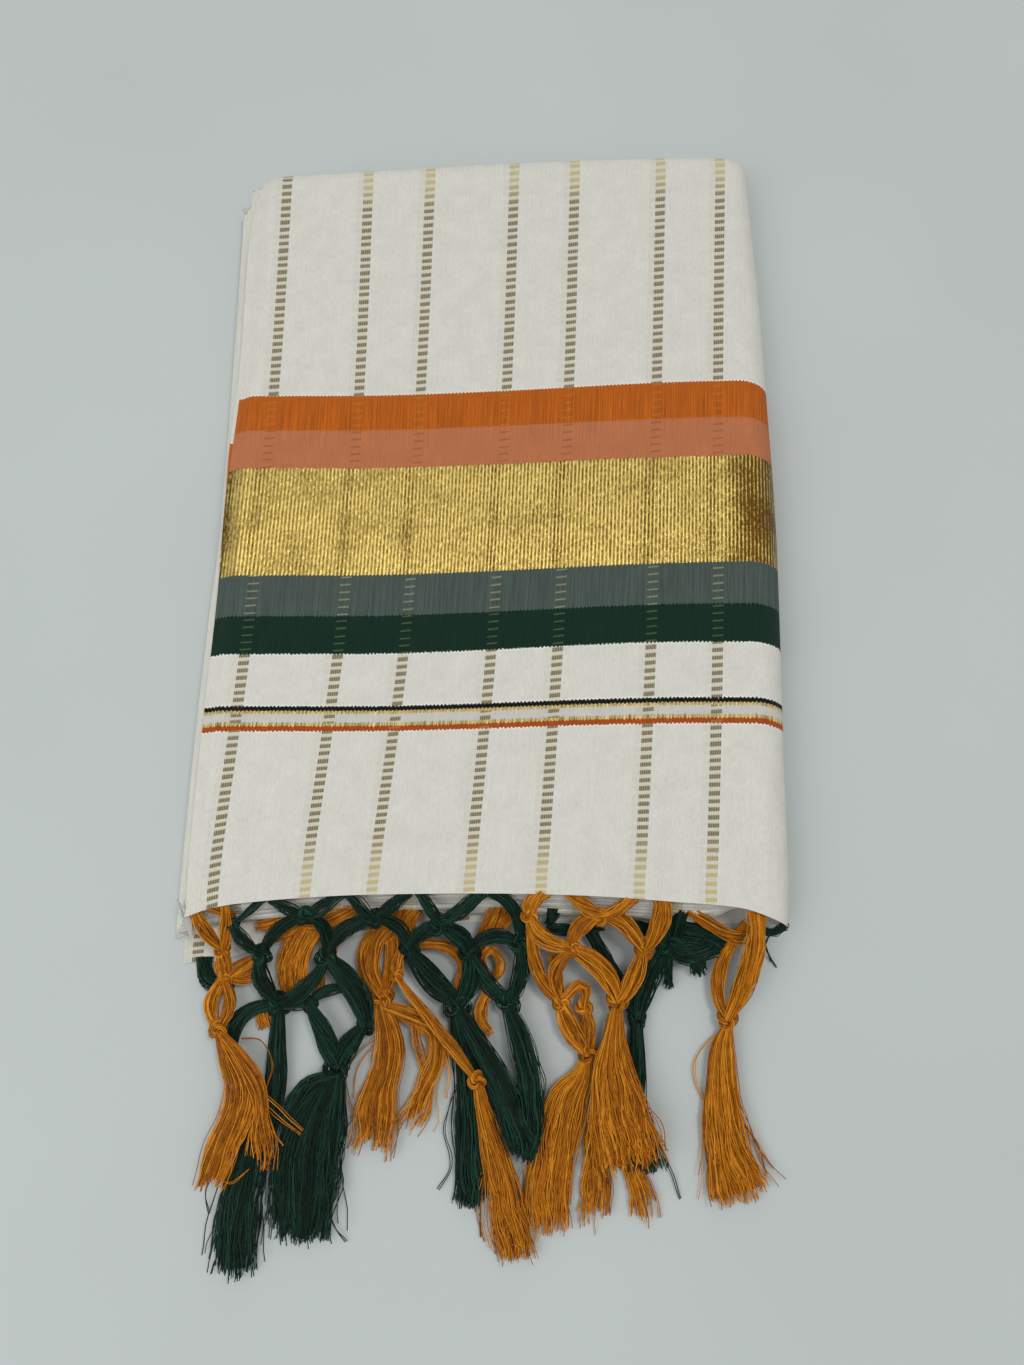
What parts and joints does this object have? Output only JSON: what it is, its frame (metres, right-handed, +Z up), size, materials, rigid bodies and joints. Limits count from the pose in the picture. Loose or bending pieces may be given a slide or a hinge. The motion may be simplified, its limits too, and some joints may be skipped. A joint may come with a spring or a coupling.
{
  "type": "kasavu saree folded flat with a knotted fringe",
  "caption": "Cream cotton saree folded into a flat packet, its striped and banded pallu on top, with a knotted net fringe and tassels spread from the near hem.",
  "frame": {"origin": "centre of the folded packet's flat underside, where it rests", "axes": "+Y along the packet from the fringed hem to the far fold, +Z up from the surface it lies on, +X across to the right with the hem toward the viewer"},
  "size_m": [0.3057, 0.5919, 0.028],
  "materials": {
    "cream_cotton": "fine plain-woven unbleached cotton, matte",
    "orange_thread": "soft cotton thread, slight sheen",
    "green_thread": "soft cotton thread, slight sheen"
  },
  "bodies": {
    "root": {"folded_core": "cream_cotton", "pallu_outer_ply": "cream_cotton", "pallu_second_ply": "cream_cotton", "pallu_lower_ply": "cream_cotton", "net_green": "green_thread", "net_orange": "orange_thread", "net_orange_left": "orange_thread", "net_orange_loop": "orange_thread", "net_orange_right": "orange_thread", "tuft_green_right": "green_thread", "strand_orange_knotted": "orange_thread", "strand_orange_under_left": "orange_thread", "strand_orange_under_middle": "orange_thread", "strand_green_corner": "green_thread", "tassel_green_far_left": "green_thread", "tassel_green_left": "green_thread", "tassel_green_middle": "green_thread", "tassel_green_wide": "green_thread", "tassel_green_right": "green_thread", "tassel_orange_far_left": "orange_thread", "tassel_orange_loose": "orange_thread", "tassel_orange_knotted": "orange_thread", "tassel_orange_fan": "orange_thread", "tassel_orange_side": "orange_thread", "tassel_orange_under": "orange_thread", "tassel_orange_right": "orange_thread"}
  },
  "joints": []
}
